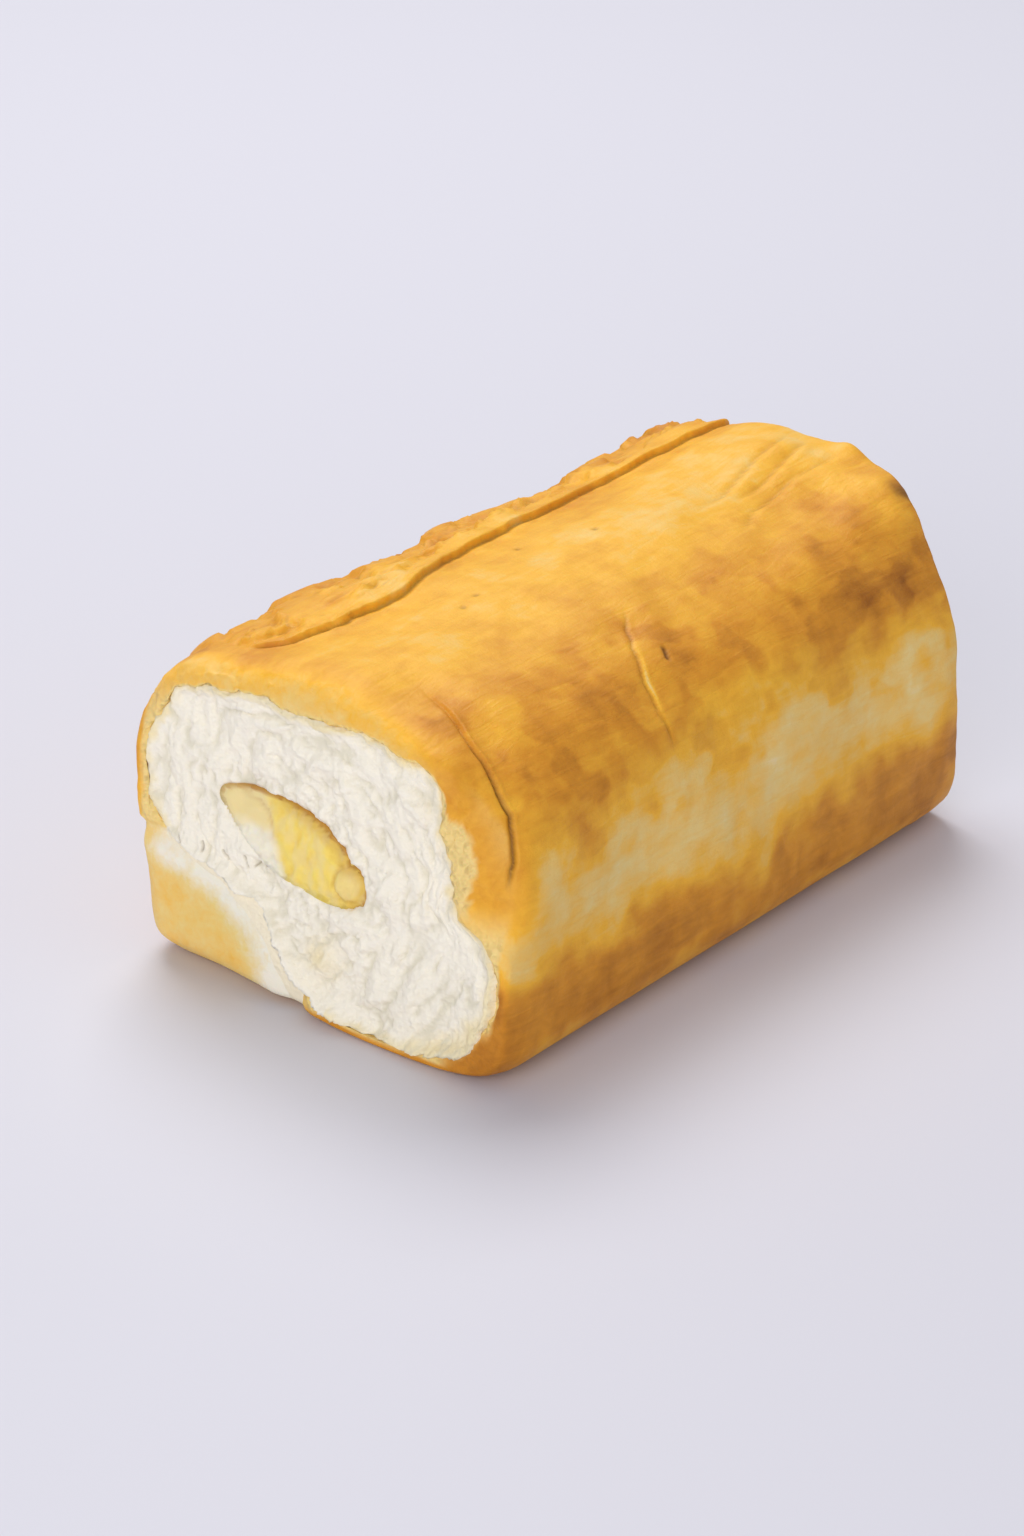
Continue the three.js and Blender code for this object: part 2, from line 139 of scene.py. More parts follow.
def finerWhere(piece, wanted, cuts=1):  # cuts the faces into smaller ones where wanted() says so
    bm = bmesh.new()
    bm.from_mesh(piece.data)
    bm.normal_update()
    faces = [face for face in bm.faces if wanted(face.calc_center_median() / mm, face.normal)]
    edges = {edge for face in faces for edge in face.edges}
    bmesh.ops.subdivide_edges(bm, edges=list(edges), cuts=cuts, use_grid_fill=True)
    bmesh.ops.triangulate(bm, faces=[face for face in bm.faces if len(face.verts) > 4])
    bm.to_mesh(piece.data)
    bm.free()


def cadCopy(node):
    bm = bmesh.new()
    bm.from_mesh(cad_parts[node].data)
    bmesh.ops.remove_doubles(bm, verts=bm.verts, dist=0.001 * mm)
    return bm


def refined(bm, name, steps):  # the mesh with its modifiers applied, as a new object
    rough = bpy.data.meshes.new(name + "_rough")
    bm.to_mesh(rough)
    bm.free()
    piece = bpy.data.objects.new(name, rough)
    bpy.context.scene.collection.objects.link(piece)
    for kind, settings in steps:
        modifier = piece.modifiers.new(kind.lower(), kind)
        for key, value in settings.items():
            setattr(modifier, key, value)
    depsgraph = bpy.context.evaluated_depsgraph_get()
    fine = bpy.data.meshes.new_from_object(piece.evaluated_get(depsgraph))
    piece.modifiers.clear()
    piece.data = fine
    fine.name = name
    bpy.data.meshes.remove(rough)
    return piece


def reshape(piece, look, marks):  # moves every vertex by look() and keeps what it says of the colour
    bm = bmesh.new()
    bm.from_mesh(piece.data)
    bm.normal_update()
    layers = [bm.verts.layers.float.new(mark) for mark in marks]
    moved = []
    for vertex in bm.verts:
        shift, values = look(vertex.co / mm, vertex.normal.copy())
        moved.append(vertex.co + shift * mm)
        for layer, value in zip(layers, values):
            vertex[layer] = value
    for vertex, at in zip(bm.verts, moved):
        vertex.co = at
    for face in bm.faces:
        face.smooth = True
    bm.to_mesh(piece.data)
    bm.free()


# materials: colours are sRGB hex values, and the pattern sizes are real ones in millimetres
def linear(hexColour):
    channels = [int(hexColour[i : i + 2], 16) / 255 for i in (1, 3, 5)]
    return [c / 12.92 if c < 0.04045 else ((c + 0.055) / 1.055) ** 2.4 for c in channels] + [1]


def addNode(tree, kind, settings=None, values=None, links=None):
    node = tree.nodes.new(kind)
    for key, value in (settings or {}).items():
        setattr(node, key, value)
    for key, value in (values or {}).items():
        node.inputs[key].default_value = value
    for key, source in (links or {}).items():
        tree.links.new(source, node.inputs[key])
    return node


def setStops(ramp, stops):
    elements = ramp.color_ramp.elements
    while len(elements) < len(stops):
        elements.new(0.5)
    for element, (position, colour) in zip(elements, stops):
        element.position = position
        element.color = linear(colour)


def newMaterial(name, values):
    material = bpy.data.materials.new(name)
    material.use_nodes = True
    tree = material.node_tree
    tree.nodes.clear()
    shader = addNode(tree, "ShaderNodeBsdfPrincipled", values=values)
    addNode(tree, "ShaderNodeOutputMaterial", links={"Surface": shader.outputs[0]})
    return material, tree, shader


def perMetre(size):  # a texture scale that gives features of this size in millimetres
    return 1000 / size


bakedSkin = {
    "stops": [
        (0.0, "#f6eedc"),
        (0.2, "#f2d388"),
        (0.42, "#f8b937"),
        (0.64, "#dc9328"),
        (0.84, "#ad6a1a"),
        (1.0, "#6f3d10"),
    ],
    "cutEdge": "#f8d88c",
    # dark: painted shade at the lap's step, between its flakes, in the crease and tear grooves and beside
    # the folds, darker spots in the pits and blister, and a real burnt spot
    "dark": "#5e3610",
    "mottle": 7,
    "streak": 2.4,
    "pore": 0.9,
    "hole": 1.7,  # the holes of the torn crumb
}


def bakedSkinMaterial():
    # baked egg sponge skin: a thin, dry, satin skin, golden to brown, with fine wrinkles and pores
    material, tree, shader = newMaterial(
        "baked_egg_sponge_skin",
        {
            "IOR": 1.45,
            "Specular IOR Level": 0.3,
            "Subsurface Weight": 0.12,
            "Subsurface Radius": (1.0, 0.45, 0.15),
            "Subsurface Scale": 2.5 * mm,
        },
    )
    place = addNode(tree, "ShaderNodeTexCoord").outputs["Object"]
    browning = addNode(tree, "ShaderNodeAttribute", {"attribute_name": "browning"}).outputs["Fac"]
    crumb = addNode(tree, "ShaderNodeAttribute", {"attribute_name": "crumb"}).outputs["Fac"]
    dark = addNode(tree, "ShaderNodeAttribute", {"attribute_name": "dark"}).outputs["Fac"]
    mottle = addNode(
        tree,
        "ShaderNodeTexNoise",
        values={"Scale": perMetre(bakedSkin["mottle"]), "Detail": 6, "Roughness": 0.62, "Distortion": 0.4},
        links={"Vector": place},
    )
    drawn = addNode(
        tree,
        "ShaderNodeMapping",
        values={"Rotation": (0, 0, math.radians(-32)), "Scale": (1, 0.16, 1)},
        links={"Vector": place},
    )
    streak = addNode(
        tree,
        "ShaderNodeTexNoise",
        values={"Scale": perMetre(bakedSkin["streak"]), "Detail": 5, "Roughness": 0.6, "Distortion": 0.6},
        links={"Vector": drawn.outputs["Vector"]},
    )
    pores = addNode(
        tree,
        "ShaderNodeTexNoise",
        values={"Scale": perMetre(bakedSkin["pore"]), "Detail": 3, "Roughness": 0.7},
        links={"Vector": place},
    )
    holes = addNode(
        tree,
        "ShaderNodeTexVoronoi",
        {"feature": "SMOOTH_F1"},
        values={"Scale": perMetre(bakedSkin["hole"]), "Randomness": 1, "Smoothness": 0.4},
        links={"Vector": place},
    )
    patchy = addNode(
        tree,
        "ShaderNodeMath",
        {"operation": "MULTIPLY_ADD"},
        values={1: 0.26, 2: -0.13},
        links={0: mottle.outputs["Fac"]},
    )
    streaky = addNode(
        tree,
        "ShaderNodeMath",
        {"operation": "MULTIPLY_ADD"},
        values={1: 0.2, 2: -0.1},
        links={0: streak.outputs["Fac"]},
    )
    uneven = addNode(
        tree,
        "ShaderNodeMath",
        {"operation": "ADD"},
        links={0: patchy.outputs[0], 1: streaky.outputs[0]},
    )
    baked = addNode(
        tree,
        "ShaderNodeMath",
        {"operation": "ADD", "use_clamp": True},
        links={0: browning, 1: uneven.outputs[0]},
    )
    ramp = addNode(tree, "ShaderNodeValToRGB", links={"Fac": baked.outputs[0]})
    setStops(ramp, bakedSkin["stops"])
    edged = addNode(
        tree,
        "ShaderNodeMix",
        {"data_type": "RGBA"},
        values={7: linear(bakedSkin["cutEdge"])},
        links={0: crumb, 6: ramp.outputs["Color"]},
    )
    # the dark mask mixes in painted shade at steps, grooves and folds, dark pits and blister, and a real
    # burnt spot
    coloured = addNode(
        tree,
        "ShaderNodeMix",
        {"data_type": "RGBA"},
        values={7: linear(bakedSkin["dark"])},
        links={0: dark, 6: edged.outputs[2]},
    )
    tree.links.new(coloured.outputs[2], shader.inputs["Base Color"])
    sheen = addNode(
        tree,
        "ShaderNodeMath",
        {"operation": "MULTIPLY_ADD"},
        values={1: 0.3, 2: 0.36},
        links={0: mottle.outputs["Fac"]},
    )
    tree.links.new(sheen.outputs[0], shader.inputs["Roughness"])
    fine = addNode(
        tree,
        "ShaderNodeBump",
        values={"Strength": 0.5, "Distance": 0.25 * mm},
        links={"Height": pores.outputs["Fac"]},
    )
    wrinkled = addNode(
        tree,
        "ShaderNodeBump",
        values={"Strength": 0.6, "Distance": 0.5 * mm},
        links={"Height": streak.outputs["Fac"], "Normal": fine.outputs["Normal"]},
    )
    porous = addNode(
        tree,
        "ShaderNodeBump",
        values={"Distance": 1.1 * mm},
        links={"Strength": crumb, "Height": holes.outputs["Distance"], "Normal": wrinkled.outputs["Normal"]},
    )
    tree.links.new(porous.outputs["Normal"], shader.inputs["Normal"])
    return material


meringueFoam = {
    "white": "#fbf3e2",
    "cream": "#f6e0a4",
    # hollow_shade and crack: painted shade in the foam's hollows and hair cracks
    "hollow_shade": "#dfd8c0",
    "crack": "#8f8064",
    "lump": 4,
    "pore": 1.3,
    "grain": 0.5,
}


def meringueFoamMaterial():
    # baked meringue: a soft white foam, matt and slightly see-through, torn open in small pores, with
    # painted shade in its hollows and hair cracks
    material, tree, shader = newMaterial(
        "baked_meringue_foam",
        {
            "IOR": 1.4,
            "Roughness": 0.78,
            "Subsurface Weight": 0.15,
            "Subsurface Radius": (1.0, 0.9, 0.7),
            "Subsurface Scale": 2.5 * mm,
        },
    )
    place = addNode(tree, "ShaderNodeTexCoord").outputs["Object"]
    cream = addNode(tree, "ShaderNodeAttribute", {"attribute_name": "cream"}).outputs["Fac"]
    hollow_shade = addNode(tree, "ShaderNodeAttribute", {"attribute_name": "hollow_shade"}).outputs["Fac"]
    crack = addNode(tree, "ShaderNodeAttribute", {"attribute_name": "crack"}).outputs["Fac"]
    pores = addNode(
        tree,
        "ShaderNodeTexVoronoi",
        {"feature": "SMOOTH_F1"},
        values={"Scale": perMetre(meringueFoam["pore"]), "Randomness": 1, "Smoothness": 0.5},
        links={"Vector": place},
    )
    grain = addNode(
        tree,
        "ShaderNodeTexNoise",
        values={"Scale": perMetre(meringueFoam["grain"]), "Detail": 3, "Roughness": 0.6},
        links={"Vector": place},
    )
    lumps = addNode(
        tree,
        "ShaderNodeTexNoise",
        values={"Scale": perMetre(meringueFoam["lump"]), "Detail": 4, "Roughness": 0.6},
        links={"Vector": place},
    )
    colour = linear(meringueFoam["white"])
    for share, tint in ((cream, "cream"), (hollow_shade, "hollow_shade"), (crack, "crack")):
        layer = addNode(
            tree,
            "ShaderNodeMix",
            {"data_type": "RGBA"},
            values={7: linear(meringueFoam[tint])},
            links={0: share},
        )
        if tint == "cream":
            layer.inputs[6].default_value = colour
        else:
            tree.links.new(last, layer.inputs[6])
        last = layer.outputs[2]
    tree.links.new(last, shader.inputs["Base Color"])
    lumpy = addNode(
        tree,
        "ShaderNodeBump",
        values={"Strength": 0.6, "Distance": 0.8 * mm},
        links={"Height": lumps.outputs["Fac"]},
    )
    porous = addNode(
        tree,
        "ShaderNodeBump",
        values={"Strength": 0.55, "Distance": 0.5 * mm},
        links={"Height": pores.outputs["Distance"], "Normal": lumpy.outputs["Normal"]},
    )
    grainy = addNode(
        tree,
        "ShaderNodeBump",
        values={"Strength": 0.5, "Distance": 0.2 * mm},
        links={"Height": grain.outputs["Fac"], "Normal": porous.outputs["Normal"]},
    )
    tree.links.new(grainy.outputs["Normal"], shader.inputs["Normal"])
    return material


eggCustard = {
    "yellow": "#fcdd6c",
    # deep: the yellow in the lumps' lows, painted shade
    "deep": "#e0b135",
    "pale": "#f2dc9e",
    # line: the thin brown line and real brown spots, with painted shade in the groove, the crimp dents and
    # the upper band
    "line": "#b97d22",
    "melted": "#f8efd8",  # where its tip runs out into the white foam
    "lump": 4.2,
}


def eggCustardMaterial():
    # baked egg custard: smooth, moist and satin, deep yellow, with a thin brown line along its upper edge
    # that is partly browning and partly painted shadow
    material, tree, shader = newMaterial(
        "baked_egg_custard",
        {
            "IOR": 1.42,
            "Roughness": 0.42,
            "Subsurface Weight": 0.3,
            "Subsurface Radius": (1.0, 0.7, 0.25),
            "Subsurface Scale": 3 * mm,
        },
    )
    place = addNode(tree, "ShaderNodeTexCoord").outputs["Object"]
    pale = addNode(tree, "ShaderNodeAttribute", {"attribute_name": "pale"}).outputs["Fac"]
    line = addNode(tree, "ShaderNodeAttribute", {"attribute_name": "line"}).outputs["Fac"]
    lumps = addNode(
        tree,
        "ShaderNodeTexNoise",
        values={"Scale": perMetre(eggCustard["lump"]), "Detail": 4, "Roughness": 0.55},
        links={"Vector": place},
    )
    # pale on the lumps' crests and deep yellow in their lows, following the bump's noise: painted highlight
    # and painted shade
    crestHighlight = addNode(
        tree,
        "ShaderNodeMath",
        {"operation": "MULTIPLY_ADD", "use_clamp": True},
        values={1: 1.0, 2: -0.5},
        links={0: lumps.outputs["Fac"]},
    )
    paled = addNode(
        tree,
        "ShaderNodeMath",
        {"operation": "ADD", "use_clamp": True},
        links={0: pale, 1: crestHighlight.outputs[0]},
    )
    lowShade = addNode(
        tree,
        "ShaderNodeMath",
        {"operation": "MULTIPLY_ADD", "use_clamp": True},
        values={1: -1.6, 2: 0.85},
        links={0: lumps.outputs["Fac"]},
    )
    yellow = addNode(
        tree,
        "ShaderNodeMix",
        {"data_type": "RGBA"},
        values={6: linear(eggCustard["yellow"]), 7: linear(eggCustard["deep"])},
        links={0: lowShade.outputs[0]},
    )
    body = addNode(
        tree,
        "ShaderNodeMix",
        {"data_type": "RGBA"},
        values={7: linear(eggCustard["pale"])},
        links={0: paled.outputs[0], 6: yellow.outputs[2]},
    )
    lined = addNode(
        tree,
        "ShaderNodeMix",
        {"data_type": "RGBA"},
        values={7: linear(eggCustard["line"])},
        links={0: line, 6: body.outputs[2]},
    )
    melted = addNode(tree, "ShaderNodeAttribute", {"attribute_name": "melted"}).outputs["Fac"]
    merged = addNode(
        tree,
        "ShaderNodeMix",
        {"data_type": "RGBA"},
        values={7: linear(eggCustard["melted"])},
        links={0: melted, 6: lined.outputs[2]},
    )
    tree.links.new(merged.outputs[2], shader.inputs["Base Color"])
    soft = addNode(
        tree,
        "ShaderNodeBump",
        values={"Strength": 0.5, "Distance": 0.4 * mm},
        links={"Height": lumps.outputs["Fac"]},
    )
    tree.links.new(soft.outputs["Normal"], shader.inputs["Normal"])
    return material


# the browned sheet: the solid made smooth, with the lap, creases, splits and ragged edges added
sheetLook = {
    "lapEdge": [(14, -33), (24, -24.5), (54, -20), (83, -26), (137, -30.5), (200, -27.5)],  # back, x
    "lapHeight": 1.8,
    "flakes": (19, 1.5),  # size and height of the torn flakes on the left of the lap
    "scales": (9, 0.7),  # and of the smaller ones on them
    "lumps": (24, 0.3),  # and of the whole skin's soft lumps and wrinkles
    "wrinkles": (7, 0.16),
    "crease": placesFromCut((17, 21, 86), (27, 19, 84), (34, 17, 82), (40, 15, 78))
    + placesFromCut((47, 13, 72), (51, 12, 66), (55, 8, 56), (56.5, 4, 49)),
    "creaseStep": (1.2, 2.2, 0.75),  # its drop, the half width it has in the solid, its groove
    "tear": placesFromCut((25, 87, 85), (35, 77.5, 81.5), (44, 72, 76), (49, 70, 70), (54, 70, 60)),
    "tearStep": (0.2, 2.6, 0.4),
    "blister": placesFromCut((39, 85, 79), (41, 83.5, 77.5)),
    "blisterDepth": 0.6,
    "pits": placesFromCut((-2, 59, 88), (-4, 66, 88), (-16, 97, 88), (-6, 115, 88)),
    "pitDepth": 0.5,
    "folds": [
        placesFromCut((-2.5, 195, 88), (-1, 185, 88), (0.5, 174, 88), (5, 155, 87), (6.5, 140, 87)),
        placesFromCut((3.5, 195, 87), (6, 178, 87), (8.5, 166, 87), (8.5, 152, 87)),
        placesFromCut((13.5, 196, 86), (12, 175, 86), (15, 155, 86), (22, 140, 85)),
    ],
    "foldHeight": 0.6,
    "nearWidth": 10,  # the crease, tear, blister, pits and folds reach this far
    "patches": [  # darker places and their radii
        (fromCut(42, 52, 76), 6),
        (fromCut(53, 46, 61), 5),
        (fromCut(42, 88, 76), 7),
        (fromCut(39, 151, 79), 6),
        (fromCut(33, 172, 81), 7),
        (fromCut(49, 158, 68), 7),
        (fromCut(48, 171, 70), 6),
    ],
    "patchLevel": 0.12,
    "stains": (13, 0.09),  # size and strength
    # top: the top lip is set a little paler than the golden skin, partly as painted highlight
    "levels": {"top": 0.36, "collar": 0.54, "corner": 0.8, "foot": 0.64, "tucked": 0.76, "flap": 0.28},
    "rearRise": 2.2,
    "corners": [(fromCut(13.5, 199, 86), 2.8, 5), (fromCut(33, 196, 80), 0.5, 8)],  # place, height, radius
    "burnt": (fromCut(33, 192.5, 80), 3.4),
    "byHeight": [  # how brown the skin is; the low band at 11 to 20 is browner partly as painted shade: height, level
        (0, 0.56),
        (5, 0.52),
        (11, 0.69),
        (20, 0.66),
        (32, 0.34),
        (40, 0.26),
        (48, 0.29),
        (58, 0.46),
        (66, 0.61),
        (72, 0.64),
        (81, 0.58),
        (88, 0.4),
    ],
    "foldCorner": (-59.5, 53, 34, 2.6),  # the flap's corner x, its width and height, how round it is
    "flapSunk": 2.2,  # its inner edge lies this deep
    "lipWidth": (13, 8),  # on top and at the sides
    "skinEdge": (11.4, 9),  # the skin reaches this far round the right of the cut end, low and high
    "lipShift": [  # by the angle about the heart, in degrees from the right: outwards is positive
        (-32, 0),
        (-24, 1.5),
        (-14, 1.5),
        (-10, 0),
        (-3, -6),
        (2, -5.5),
        (9, -3.4),
        (17, -3),
        (30, -1),
        (60, 0.5),
        (86, 1.8),
        (108, 1.4),
        (120, 3),
        (132, 5),
        (141, 4),
        (150, 2.2),
        (160, 1.5),
        (172, 0),
    ],
    "crumbProud": 1.6,  # the torn crumb on the right stands out this far
    "rowLength": (5, 15),  # the solid's long faces, which are halved
    "fineWidth": 2.6,  # the faces are cut finer this near to a crisp line
    "lapFineWidth": 3,
}


wallProbe = {"station": 78, "reach": 60}  # the side is found here, clear of the rounded ends


def wallInset(tree, p):  # how far a point of an end lies inside the roll's side
    away = awayFromHeart(p)
    reach = wallProbe["reach"]
    start = Vector((p.x, math.copysign(wallProbe["station"], p.y), p.z)) + away * reach
    hit = tree.ray_cast(start * mm, -away)[3]
    return reach - hit / mm if hit else 0


def foldCover(p):  # under 1 where the folded flap lies over the cut end
    cornerX, reachX, reachZ, power = sheetLook["foldCorner"]
    return (abs(p.x - cornerX) / reachX) ** power + (p.z / reachZ) ** power


def lipShift(tree, p):  # the torn lip and the meringue behind it move in or out together
    front = smooth(-p.y, 80, 92)
    ends = max(front, smooth(p.y, 80, 90))
    if ends == 0 or (front > 0 and foldCover(p) < 1):
        return Vector((0, 0, 0)), 0.0
    inset = wallInset(tree, p)
    away = awayFromHeart(p)
    onTop, atSide = sheetLook["lipWidth"]
    edge = mix(onTop, atSide, smooth(away.x, 0.5, 0.9))
    around = math.degrees(math.atan2(away.z, away.x))
    share = smooth(inset, 0, edge) * (1 - smooth(inset, edge + 3, edge + 22))
    move = front * share * through(sheetLook["lipShift"], around)
    uneven = 0.9 * bumpy(p, 5.5, 16) + 0.5 * bumpy(p, 2.6, 17)
    move += ends * smooth(inset, 2, 4.5) * (1 - smooth(inset, 20, 30)) * uneven
    if front > 0:
        move *= smooth(foldCover(p), 1.0, 1.25)
    return away * move, inset - move


def rearLift(p):  # the far end is puffed up a little, with two raised corners of skin
    back = p.y + roll["halfLength"]
    lift = sheetLook["rearRise"] * smooth(back, 158, 192) * smooth(p.z, 62, 84)
    for corner, height, radius in sheetLook["corners"]:
        lift += height * bump((p - corner).length, 0, radius)
    return Vector((0, 0, lift))


def lapRelief(p, back):  # the crisp edge of the outer layer, and the torn flakes on its left, with painted shadow beside the edge and between the flakes
    onLap = smooth(p.z, 62, 72) * smooth(back, 14, 19)
    if onLap == 0:
        return 0, 0
    edge = alongCurve(sheetLook["lapEdge"], back)
    soft = 1 - smooth(p.x, edge - 1, edge + 3)
    loose = 1 - smooth(back, 30, 55)
    wander = Vector((0, p.y, 0))
    rim = edge + 1 + (0.5 + 0.7 * loose) * bumpy(wander, 9, 31) + 0.3 * bumpy(wander, 3.5, 32)
    crisp = 1 - smooth(p.x, rim - 0.55, rim + 0.55)
    height = sheetLook["lapHeight"] * (crisp - soft)
    height += 0.4 * bump(p.x, rim - 1.2, 0.9) - 0.35 * bump(p.x, rim + 0.9, 0.6)
    # painted shadow: a dark line just right of the lap's step
    dark = 0.42 * bump(p.x, rim + 0.7, 0.5)
    left = smooth(rim - p.x, 2.5, 6) * smooth(p.z, 56, 70)
    flakeSize, flakeHeight = sheetLook["flakes"]
    scaleSize, scaleHeight = sheetLook["scales"]
    flake = bumpy(Vector((1.7 * p.x, p.y, 1.4 * p.z)), flakeSize, 3)
    scale = bumpy(Vector((1.5 * p.x, p.y, p.z)), scaleSize, 4)
    torn = flakeHeight * smooth(flake, -0.04, 0.06) + scaleHeight * smooth(scale, 0.08, 0.18)
    height += left * (torn - 0.8)
    # painted shade in the crevices between the torn flakes
    dark += left * 0.2 * (bump(flake, -0.05, 0.03) + bump(scale, 0.07, 0.03))
    crinkled = loose * bump(p.x, rim - 3, 5)
    height += 0.5 * crinkled * bumpy(p, 3, 33)
    return height * onLap, dark * onLap


def stepLine(p, line, step):  # sharpens a step that the solid has softly
    drop, soft, groove = step
    distance, at, along = nearest(p, line)
    side = math.copysign(distance, p.y - at.y)
    height = drop * (smooth(side, -0.4, 0.5) - smooth(side, -soft, soft)) * (1 - smooth(distance, 4, 9))
    height -= groove * bump(side, -0.3, 0.55)
    return height, side, along


def foldLine(p, fold):
    distance, at, along = nearest(p, fold)
    fading = smooth(along, 0, 0.12) * (1 - smooth(along, 0.7, 1))
    side = math.copysign(distance, p.x - at.x)
    ridge = sheetLook["foldHeight"] * smooth(side, -0.8, 0.8) * bump(distance, 0, 5)
    height = fading * (ridge - 0.5 * bump(side, -0.8, 0.8))
    return height, 0.22 * fading * bump(side, -0.9, 0.6)


def sheetRelief(p, back, lines):
    lumpSize, lumpHeight = sheetLook["lumps"]
    wrinkleSize, wrinkleHeight = sheetLook["wrinkles"]
    height = lumpHeight * bumpy(p, lumpSize, 1) + wrinkleHeight * bumpy(p, wrinkleSize, 2)
    lapped, dark = lapRelief(p, back)
    height += lapped
    pale = 0.0
    if lines["near"].find(p)[2] >= sheetLook["nearWidth"]:
        return height, dark, pale
    step, side, along = stepLine(p, lines["crease"], sheetLook["creaseStep"])
    fading = smooth(along, -0.05, 0.3) * (1 - smooth(along, 0.88, 1.0))
    height += step * fading
    # painted shadow in the crease's groove
    dark = max(dark, 0.75 * bump(side, -0.3, 0.45) * smooth(along, 0.2, 0.7) * fading)
    step, side, along = stepLine(p, lines["tear"], sheetLook["tearStep"])
    fading = smooth(along, 0.0, 0.12) * (1 - smooth(along, 0.85, 1.0))
    height += step * fading
    # painted shade in the tear's groove
    dark = max(dark, 0.45 * bump(side, -0.3, 0.4) * fading * (1 - 0.5 * along))
    pale = 0.6 * bump(side, 0.9, 0.6) * bump(along, 0.5, 0.2)
    distance = nearest(p, lines["blister"])[0]
    height -= sheetLook["blisterDepth"] * bump(distance, 0, 0.8)
    dark = max(dark, 0.85 * bump(distance, 0, 0.7))
    for pit in lines["pits"]:
        distance = (p - pit).length
        height -= sheetLook["pitDepth"] * bump(distance, 0, 0.9)
        dark = max(dark, 0.5 * bump(distance, 0, 0.8))
    for fold in lines["folds"]:
        folded, shaded = foldLine(p, fold)
        height += folded
        dark = max(dark, shaded)
    return height, dark, pale


def sheetBrowning(p, back):  # 0 is white, 1 is nearly burnt
    drips = Vector((p.x / 22, p.y / 9, p.z / 20))  # the browning runs down the sides in streaks
    onSide = 1 - smooth(p.z, 68, 80)
    wander = 8 * bumpy(p, 30, 6) + 3 * bumpy(p, 10, 34) + 2.2 * bumpy(drips, 1, 7) * onSide
    tilted = p.z - 4 * smooth(back, 110, 200) * smooth(70 - p.z, 0, 15)
    level = through(sheetLook["byHeight"], tilted + wander * smooth(86 - p.z, 0, 20))
    level += 0.08 * bumpy(p, 14, 8) + 0.04 * bumpy(drips, 1, 10) * onSide
    stainSize, strength = sheetLook["stains"]
    stain = bumpy(Vector((p.x, 0.8 * p.y, 0.8 * p.z)), stainSize, 51)
    stained = smooth(p.z, 38, 50) * (1 - 0.6 * smooth(p.z, 78, 86))
    level += strength * (smooth(stain, 0.02, 0.18) - 0.35) * stained  # rather crisp at the edge
    for centre, radius in sheetLook["patches"]:
        distance = (p - centre).length
        if distance < 2.5 * radius:
            level += sheetLook["patchLevel"] * bump(distance, 0, radius)
    level += 0.07 * smooth(back, 140, 185) * onSide
    level = max(level, mix(0.2, level, 0.3))
    collar = 1 - smooth(back, 8, 18)
    return mix(level, max(level, 0.52), collar * smooth(p.z, 34, 50))


def sheetEnd(tree, p, outward, front, rear, endOn, level):  # the torn lips, the collar and the flap
    moved, inset = lipShift(tree, p)
    topness = smooth(p.z, 62, 78) * (1 - smooth(p.x, 22, 46))
    rightness = front * smooth(p.x, 22, 40) * smooth(p.z, 34, 46)
    covered = foldCover(p)
    folded = front * (1 - smooth(covered, 1.0, 1.25))
    tucked = front * smooth(p.x, 36, 44) * (1 - smooth(p.z - 0.5 * (p.x - 50), 10, 17))
    byCorner = front * smooth(p.x, 38, 44) * (1 - smooth(p.z, 24, 30))
    # bare crumb shows where the sheet turns in, on its square edge and past the skin's own edge
    turned = smooth(-outward, 0.0, 0.4)
    square = (1 - topness) * (1 - folded) * (1 - rightness) * (1 - tucked)
    square *= smooth(inset - 3 * byCorner, 2.2, 3.6)
    skinLow, skinHigh = sheetLook["skinEdge"]
    skinEdge = mix(skinLow, skinHigh, smooth(p.z, 46, 57)) + 0.9 * bumpy(p, 6, 18) + 0.6 * bumpy(p, 2.5, 19)
    crumb = max(turned, square) * max(front, rear)
    crumb = max(crumb, rightness * smooth(inset, skinEdge, skinEdge + 1))
    crumb = max(crumb, 0.8 * topness * front * smooth(inset, skinEdge - 1.5, skinEdge + 1))
    crumb *= (1 - folded) * (1 - 0.8 * tucked)
    levels = sheetLook["levels"]
    # the top lip is paler, partly painted highlight
    level = mix(level, levels["top"], front * topness * smooth(inset, -1, 3))
    level = mix(level, levels["collar"], 0.7 * rightness)
    level = mix(level, levels["corner"], byCorner * bump(inset, 3, 2.5))
    # a tan-brown strip along the bottom of the cut end, partly browning and partly painted shade
    foot = 1 - smooth(p.z, 3, 8)
    footLevel = mix(levels["foot"], levels["tucked"], tucked)
    level = mix(level, footLevel, max(tucked, foot) * endOn * (1 - folded))
    level -= 0.07 * smooth(inset, 3, 9) * topness
    # the flap is golden at its corner and runs out white where it was rolled in
    fromCorner = p.x - sheetLook["foldCorner"][0] + 1.5 * bumpy(p, 7, 26)
    whitened = smooth(covered, 0.34, 0.72) * mix(0.2, 1, smooth(fromCorner, 3, 12))
    level = mix(level, mix(levels["flap"], 0.0, whitened), folded * endOn)
    bubbles = 0.5 * bumpy(p, 2.6, 14) - 0.5 * smooth(0.34 - noise.voronoi(p / 2.4)[0][0], 0, 0.2)
    height = 0.4 * endOn * bumpy(p, 6, 9) * (1 - folded) + endOn * bubbles * crumb
    moved.y = sheetLook["flapSunk"] * folded * smooth(covered, 0.66, 1.0)
    moved.y -= sheetLook["crumbProud"] * rightness * smooth(inset, 10, 14)
    return moved, height, level, crumb


